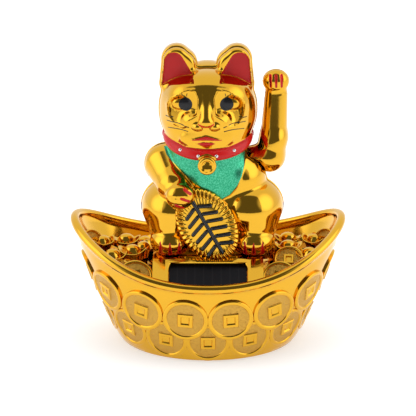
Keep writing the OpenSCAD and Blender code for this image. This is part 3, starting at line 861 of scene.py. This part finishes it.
def plaque(build):
    """An oval plate with a ridged rim."""
    turn = np.linspace(0, 2 * math.pi, 8 * PLAQUE_RIDGES, endpoint=False)
    rings = []
    for share, w, ridged in PLAQUE_RINGS:
        u = PLAQUE_HALF[0] * share * np.cos(turn)
        v = PLAQUE_HALF[1] * share * np.sin(turn)
        rings.append(on_plaque(u, v, w + RIDGE_HEIGHT * ridged * np.cos(PLAQUE_RIDGES * turn)))
    points, faces = skin(rings)
    build.add(points, faces)


BIB = [(-15.6, 73.5), (-14.8, 67.6), (-9.4, 61.3), (-4.6, 56.4), (-1.1, 54.0), (4.6, 51.0),
       (7.2, 52.4), (9.4, 55.2), (10.9, 58.6), (11.8, 62.5), (12.2, 73.5)]


def bib_edge(p):
    """Distance to the edge of the bib, which hangs in a point from the collar."""
    x, y, z = p.T
    drape = z + 0.298 * (y + 13)
    d = np.maximum(polygon(x, drape, BIB), y + 3)
    d = np.maximum(d, np.minimum(torso(p), head_form(p)) - 1.2)
    return np.maximum(d, z - COLLAR_Z - COLLAR_SLOPE * (y + 0.4))


CLAWS = [(x, 37.2, x + 0.1, 33.0) for x in (-15.5, -12.4, -9.4, 12.0, 14.8, 17.7)]
ARM_CLAWS = [(-7.6, 55.4, -5.6, 53.8), (-8.6, 52.6, -6.2, 51.6), (-10.4, 50.2, -8.0, 49.2)]


def cat_form(p):
    """The cat's outer surface without the tail and the plaque, which is a plate of its own."""
    x, y, z = p.T
    d = join(torso(p), legs(p), 0.9)
    d = d - 0.4 * np.clip(0.5 - bib_edge(p) / 0.5, 0, 1)
    d = join(d, plaque_arm(p), 0.5)
    head = head_form(p)
    for side in (-1, 1):
        shape, scoop = ear(p, side)
        head = cut(join(head, shape, 1.3), scoop, 0.25)
    head = face(p, head)
    d = join(d, head, 1.0)
    d = join(d, collar(p), 0.25)
    d = join(d, plaque_paw(p), 0.3)
    for x0, z0, x1, z1 in CLAWS:
        d = cut(d, np.maximum(stroke(x, z, (x0, z0), (x1, z1), -0.1, 0.2), y + 9), 0.5)
    return np.minimum(d, bell(p))


def plaque_paw(p):
    """The mitt that holds the plaque, with shallow folds between its toes."""
    x, y, z = p.T
    d = ball(p, (-9.0, -14.6, 52.4), (4.7, 3.4, 4.3))
    for (x0, z0), (x1, z1) in (((-12.0, 52.6), (-7.2, 52.9)), ((-12.6, 50.6), (-8.4, 50.4))):
        d = cut(d, np.maximum(stroke(x, z, (x0, z0), (x1, z1), -0.05), y + 14), 0.5)
    return d


def arm_hole(p):
    """The opening at the shoulder that the arm's hub passes through."""
    d = ball(p, (12, PIVOT[1], 62.4), (7, 6.4, 6.4))
    return join(d, limb(p, (16, PIVOT[1], 61.5), (26, PIVOT[1], 61.0), 6.0, 7.4), 1)


SHELL_WALL = 1.5
SHELL_MORE = 2.2      # added behind the face and under the ears, where the outside is cut deep
PARTING_GAP = 0.12
REAR_PROUD = 0.25     # how much the rear half stands out over the front half


def shell(p, front):
    """One half of the cat's hollow shell."""
    y, z = p.T[1:]
    form = cat_form(p) if front else rear_form(p)
    deep = np.clip((-y - 6) / 3, 0, 1) * np.clip((z - 66) / 4, 0, 1)
    thick = SHELL_WALL + SHELL_MORE * np.maximum(deep, np.clip((z - 82) / 4, 0, 1))
    d = cut(form, smooth_form(p) + thick, 0.2)
    d = cut(d, arm_hole(p), 0.3)
    side = y - PARTING_Y + PARTING_GAP if front else PARTING_Y + PARTING_GAP - y
    d = meet(d, side, 0.3)
    return meet(d, CAT_FLOOR - z, 0.2)


def rear_form(p):
    """The rear half's outer surface: a little prouder, higher at the crown, and with the tail."""
    crown = ball(p, (0, 4.2, 80.6), (14.6, 12.0, 12.2))
    d = join(cat_form(p), crown, 1.0)
    return join(d, tail(p), 0.6) - REAR_PROUD


def tail(p):
    d = limb(p, (0, 13.6, 37), (6, 13.0, 42), 2.4, 2.2)
    return join(d, limb(p, (6, 13.0, 42), (4.5, 12.6, 49.5), 2.2, 1.7), 1)


def paint_cat(p):
    """Distance to the edge of the red, green and black paint, negative where there is paint."""
    x, y, z = p.T
    # the rear shell stands a little prouder than the collar's own surface
    red = collar(p) - np.where(y > PARTING_Y, 0.4, 0.12)
    for side in (-1, 1):
        panel = np.maximum(ear_panel(x, z, side), np.abs(y - EAR_BACK) - 0.45)
        red = np.minimum(red, np.maximum(panel, ear_floor(x) + 0.15 - z))
    for x0, z0, x1, z1 in CLAWS:
        red = np.minimum(red, np.maximum(stroke(x, z, (x0, z0), (x1, z1), 0.12, 0.8), y + 9))
    for x0, z0, x1, z1 in ARM_CLAWS:
        red = np.minimum(red, np.maximum(stroke(x, z, (x0, z0), (x1, z1), 0.45, 0.45), y + 12))
    nostrils = [stroke(x, z, (FACE_X + side * 2.2, 76.6), (FACE_X, 75.7), 0.42) for side in (-1, 1)]
    nose = np.maximum(np.minimum(*nostrils), y + 14)
    lips = np.maximum(lips_edge(x, z), y + 12)
    red = np.minimum(red, np.minimum(nose, lips))
    black = np.minimum(*(np.hypot(x - ex, z - EYE_Z) - 2.2 for ex in EYES))
    black = np.maximum(black, y + 8)
    bell_near = bell(p) - 0.3
    green = np.maximum(bib_edge(p), 0.4 - bell_near)
    return np.stack([np.maximum(red, 0.2 - bell_near), green, black], axis=-1)


def front_y(x, z):
    """Where a line of sight from the front first meets the cat."""
    ys = np.arange(-20, 2, 0.1, dtype=np.float32)
    p = np.stack([np.full_like(ys, x), ys, np.full_like(ys, z)], axis=-1)
    inside = np.flatnonzero(cat_form(p) < 0)
    return float(ys[inside[0]]) if len(inside) else 0.0


# whiskers, then lashes: x from the face's middle and z at both ends, rise of the bend between
FACE_LINES = (
    (5.6, 75.2, 12.6, 76.2, 0.5), (5.8, 73.8, 12.2, 73.8, 0.35), (10.6, 77.9, 13.0, 77.8, 0.0),
    (9.0, 84.6, 9.4, 85.2, 0.0), (7.6, 84.9, 7.8, 85.6, 0.0), (6.2, 84.9, 6.1, 85.6, 0.0),
)
FACE_LINE_R = 0.16


def face_lines(build):
    """Whiskers and lashes, laid on the face as thin beads."""
    for side in (-1, 1):
        for x0, z0, x1, z1, bend in FACE_LINES:
            path = []
            for t in np.linspace(0, 1, 9):
                x = FACE_X + side * (x0 + (x1 - x0) * t)
                z = z0 + (z1 - z0) * t + bend * 4 * t * (1 - t)
                path.append((x, front_y(x, z) - 0.02, z))
            points, faces = tube(path, FACE_LINE_R, 6)
            build.add(points, faces, 1)


MOTIF_W = 2.35        # height of the strokes' middle over the plaque's own plane
MOTIF_R = 0.66


def plaque_motif(build):
    """A fern of black raised strokes on the plaque."""
    bars = [((0.0, -10.0), (0.0, 9.6))]
    for side in (-1, 1):
        for k in range(6):
            v = -8.6 + 2.8 * k
            bars.append(((side * 1.0, v + 1.6), (side * (5.4 - 0.16 * abs(k - 2.5) ** 2), v)))
    for (u0, v0), (u1, v1) in bars:
        path = []
        for t in np.linspace(0, 1, 9):
            path.append(on_plaque(u0 + (u1 - u0) * t, v0 + (v1 - v0) * t, MOTIF_W))
        points, faces = tube(path, MOTIF_R, 10)
        build.add(points, faces, 1)


STUDS = ((-8.9, 67.4), (-3.1, 66.1), (2.7, 66.1), (8.4, 67.3))      # x and z
STUD_RINGS = ((0.62, -0.2), (0.6, 0.12), (0.42, 0.3), (0.15, 0.38))  # radius, height over the collar


def collar_studs(build):
    a = np.linspace(0, 2 * math.pi, 16, endpoint=False)
    for x, z in STUDS:
        y = front_y(x, z)
        rings = []
        for r, out in STUD_RINGS:
            rings.append(np.column_stack([x + r * np.cos(a), np.full(len(a), y - out), z + r * np.sin(a)]))
        points, faces = skin(rings)
        build.add(points, faces, 2)


# boxes that hold the halves of the cat and of the waving arm
CAT_FRONT_BOX = ((-24, -21, 30.5), (27, 0.6, 101))
CAT_REAR_BOX = ((-24, -1.6, 30.5), (27, 18.5, 101.5))
ARM_FRONT_BOX = ((8, -6, 55), (28, 2, 93))
ARM_REAR_BOX = ((8, 0, 55), (28, 8, 93))


def make_cat():
    pitch = 0.4
    for front, name in ((True, "front_shell"), (False, "rear_shell")):
        low, high = CAT_FRONT_BOX if front else CAT_REAR_BOX
        points, quads = surface(lambda p: shell(p, front), low, high, pitch)
        build = Build()
        build.add(points, quads.tolist(), 0, paint_cat(points))
        if front:
            face_lines(build)
            plaque(build)
            plaque_motif(build)
            collar_studs(build)
        build.make("cat_" + name, "base", [name], [gold_painted, black_enamel, silver_paint])


# ---------- waving arm ----------

PAW = (22.1, PIVOT[1] - 0.3, 87.0)
PAW_CLAWS = [(x, 89.4, x + 0.1, 85.8) for x in (20.2, 22.0, 23.8)]
ARM_WALL = 1.1
HUB_SOCKET = (4.5, 2.03)      # half length and half width of the square room for the hub


def arm_form(p):
    """The arm, deeper front to back at the elbow than at the wrist."""
    y = PIVOT[1]
    depth = 1.28 - 0.46 * np.clip((p[:, 2] - 66) / 17, 0, 1)
    p = np.stack([p[:, 0], y + (p[:, 1] - y) / depth, p[:, 2]], axis=-1)
    d = limb(p, PIVOT, (20.3, y, 61.7), 3.3, 5.0)
    d = join(d, limb(p, (20.3, y, 61.7), (21.6, y, 68), 5.0, 4.45), 1)
    d = join(d, limb(p, (21.6, y, 68), (22.25, y, 82.5), 4.3, 3.6), 1.5)
    return join(d, ball(p, PAW, (4.3, 4.4, 3.9)), 1.0)


def arm_outer(p):
    """The arm with the grooves between its toes."""
    x, y, z = p.T
    d = arm_form(p)
    for x0, z0, x1, z1 in PAW_CLAWS:
        d = cut(d, np.maximum(stroke(x, z, (x0, z0), (x1, z1), 0.05), y + 1), 0.6)
    return d


def arm_half(p, front):
    """One half of the arm's hollow shell, with room for the hub at the shoulder."""
    x, y, z = p.T
    d = cut(arm_outer(p), arm_form(p) + ARM_WALL, 0.1)
    long, wide = HUB_SOCKET
    hub = np.maximum(np.abs(x - PIVOT[0]) - long, np.abs(y - PIVOT[1]) - wide)
    hub = np.maximum(hub, np.abs(z - PIVOT[2]) - wide)
    d = cut(d, hub, 0.05)
    side = y - PIVOT[1] + 0.05 if front else PIVOT[1] + 0.05 - y
    return meet(d if front else d - 0.1, side, 0.15)


def paint_arm(p):
    x, y, z = p.T
    red = np.full(len(p), NO_PAINT)
    for x0, z0, x1, z1 in PAW_CLAWS:
        red = np.minimum(red, np.maximum(stroke(x, z, (x0, z0), (x1, z1), 0.5, 0.36), y + 1))
    none = np.full(len(p), NO_PAINT)
    return np.stack([red, none, none], axis=-1)


def make_arm():
    pitch = 0.35
    for front, name in ((True, "arm_front_half"), (False, "arm_rear_half")):
        low, high = ARM_FRONT_BOX if front else ARM_REAR_BOX
        points, quads = surface(lambda p: arm_half(p, front), low, high, pitch)
        build = Build()
        build.add(points, quads.tolist(), 0, paint_arm(points))
        build.make("waving_" + name, "waving_arm", [name], [gold_painted])


# ---------- CAD pieces that show as they are ----------

CELL = (0.006, 0.006, 0.008)
CELL_LINE = (0.011, 0.010, 0.012)


def solar_glass():
    """Near-black amorphous cell with fine scribed lines between its strips."""
    material = principled("solar_cell_glass", CELL, 0.0, 0.3)
    nodes, links = material.node_tree.nodes, material.node_tree.links
    nodes["Principled BSDF"].inputs["Specular IOR Level"].default_value = 0.12
    wave = add_texture(material, "ShaderNodeTexWave", 110)
    line = nodes.new("ShaderNodeMapRange")
    line.inputs["From Min"].default_value = 0.93
    line.inputs["From Max"].default_value = 1.0
    links.new(wave.outputs["Fac"], line.inputs["Value"])
    color = mix(material, "RGBA", line, (*CELL, 1), (*CELL_LINE, 1))
    links.new(color, nodes["Principled BSDF"].inputs["Base Color"])
    return material


# looks of the nodes kept from the CAD model: material, colour, metallic, roughness, scale and depth
# of its fine relief, nodes
CAD_LOOKS = (
    ("zinc_steel", (0.62, 0.62, 0.64), 1.0, 0.32, 900, 0.000008,
     ("cover_screws", "body_screws", "frame_screws", "board_screws", "pivot_shaft", "balance_weight")),
    ("nickel_plate", (0.74, 0.73, 0.70), 1.0, 0.16, 500, 0.000004, ("drive_magnet",)),
    ("copper_wire", (0.72, 0.27, 0.10), 1.0, 0.3, 2200, 0.00003, ("coil_winding", "coil_leads")),
    ("natural_plastic", (0.80, 0.79, 0.73), 0.0, 0.45, 1200, 0.00001,
     ("coil_bobbin", "mechanism_frame", "pendulum_lever", "arm_hub")),
    ("circuit_board_green", (0.02, 0.20, 0.07), 0.0, 0.3, 1500, 0.00002, ("circuit_board",)),
    ("chip_black", (0.02, 0.02, 0.022), 0.0, 0.5, 3000, 0.00001, ("drive_chip",)),
    ("capacitor_sleeve", (0.05, 0.07, 0.22), 0.0, 0.35, 700, 0.00001, ("storage_capacitor",)),
    ("wire_red", (0.55, 0.02, 0.015), 0.0, 0.4, 1800, 0.00001, ("solar_wire_red",)),
    ("wire_black", (0.015, 0.015, 0.016), 0.0, 0.4, 1800, 0.00001, ("solar_wire_black",)),
)


def dress(node, material):
    mesh = frame["nodes"][node].data
    mesh.materials.clear()
    mesh.materials.append(material)


def dress_frame():
    """Materials with detail for the nodes that are kept from the CAD model."""
    dress("solar_cell", solar_glass())
    for name, color, metallic, roughness, scale, depth, nodes in CAD_LOOKS:
        material = principled(name, color, metallic, roughness)
        add_bump(material, scale, depth)
        for node in nodes:
            dress(node, material)
    dress("bottom_cover", gold)


# ---------- studio ----------

FLOOR_HALF = 3.0
FLOOR_Z = -0.00005      # just under the base's foot
FLOOR_GLOW = 0.52


def studio():
    """A pale floor and a soft lamp above."""
    scene = bpy.context.scene
    floor_mesh = bpy.data.meshes.new("floor")
    r = FLOOR_HALF
    floor_mesh.from_pydata([(-r, -r, 0), (r, -r, 0), (r, r, 0), (-r, r, 0)], [], [(0, 1, 2, 3)])
    floor = bpy.data.objects.new("floor", floor_mesh)
    floor.location.z = FLOOR_Z
    paper = principled("pale_floor", (0.55, 0.55, 0.55), 0.0, 0.8)
    shader = paper.node_tree.nodes["Principled BSDF"]
    shader.inputs["Emission Color"].default_value = (1, 1, 1, 1)
    shader.inputs["Emission Strength"].default_value = FLOOR_GLOW
    floor_mesh.materials.append(paper)
    scene.collection.objects.link(floor)

    data = bpy.data.lights.new("ceiling", "AREA")
    data.shape = "DISK"
    data.size = 0.9
    data.energy = 5.0
    lamp = bpy.data.objects.new("ceiling", data)
    lamp.location = (0, 0, 0.9)
    lamp.visible_camera = False
    lamp.visible_glossy = False
    scene.collection.objects.link(lamp)


TENT_DARK = 0.87      # how much darker the opening is than the tent
SIDE_GLOW = 0.9       # how much brighter the lamps at the sides are


def world():
    """A white tent with a dark opening where the photographer stands, and a lamp at each side."""
    world_ = bpy.data.worlds.new("tent")
    bpy.context.scene.world = world_
    world_.use_nodes = True
    nodes, links = world_.node_tree.nodes, world_.node_tree.links

    def math_node(kind, *values):
        node = nodes.new("ShaderNodeMath")
        node.operation = kind
        for socket, value in zip(node.inputs, values):
            if isinstance(value, bpy.types.NodeSocket):
                links.new(value, socket)
            else:
                socket.default_value = value
        return node.outputs[0]

    def fade(value, start, end):
        node = nodes.new("ShaderNodeMapRange")
        node.interpolation_type = "SMOOTHSTEP"
        node.inputs["From Min"].default_value = start
        node.inputs["From Max"].default_value = end
        links.new(value, node.inputs["Value"])
        return node.outputs["Result"]

    where = nodes.new("ShaderNodeTexCoord")
    split = nodes.new("ShaderNodeSeparateXYZ")
    links.new(where.outputs["Generated"], split.inputs[0])
    x, y, z = split.outputs
    front = math_node("MULTIPLY", y, -1.0)
    side = math_node("ABSOLUTE", x)
    reach = math_node("ADD", math_node("MULTIPLY", front, 1.15), math_node("MULTIPLY", z, 0.26))
    dark = fade(math_node("SUBTRACT", reach, side), 0.0, 0.06)
    dark = math_node("MULTIPLY", dark, fade(front, 0.16, 0.22))
    dark = math_node("MULTIPLY", dark, fade(z, -0.01, 0.02))
    # a soft lamp at each side, a little in front and above
    toward = math_node("ADD", math_node("MULTIPLY", side, 0.86), math_node("MULTIPLY", front, 0.22))
    toward = math_node("ADD", toward, math_node("MULTIPLY", z, 0.46))
    glow = math_node("MULTIPLY", fade(toward, 0.80, 0.98), SIDE_GLOW)
    light = math_node("ADD", math_node("SUBTRACT", 1.0, math_node("MULTIPLY", dark, TENT_DARK)), glow)
    path = nodes.new("ShaderNodeLightPath")
    seen = math_node("MULTIPLY", path.outputs["Is Camera Ray"], math_node("SUBTRACT", 1.0, light))
    links.new(math_node("ADD", light, seen), nodes["Background"].inputs["Strength"])
    nodes["Background"].inputs["Color"].default_value = (1, 1, 1, 1)


CAMERA_RISE = math.radians(16.6)
CAMERA_FAR = 0.6
CAMERA_LOW = 0.00573      # how far the camera aims below the target, so that the cat sits higher


def camera():
    scene = bpy.context.scene
    data = bpy.data.cameras.new("camera")
    data.sensor_width = 36.0
    data.lens = 156.8
    cam = bpy.data.objects.new("camera", data)
    rise = CAMERA_RISE
    target = Vector((0, 0, 0.050))
    cam.location = target + CAMERA_FAR * Vector((0, -math.cos(rise), math.sin(rise)))
    aim = target - Vector((0, math.sin(rise), math.cos(rise))) * CAMERA_LOW
    cam.rotation_euler = (aim - cam.location).to_track_quat("-Z", "Y").to_euler()
    scene.collection.objects.link(cam)
    scene.camera = cam
    scene.view_settings.view_transform = "Standard"


camera()
world()
studio()
dress_frame()
make_base()
make_deck()
make_cat()
make_arm()
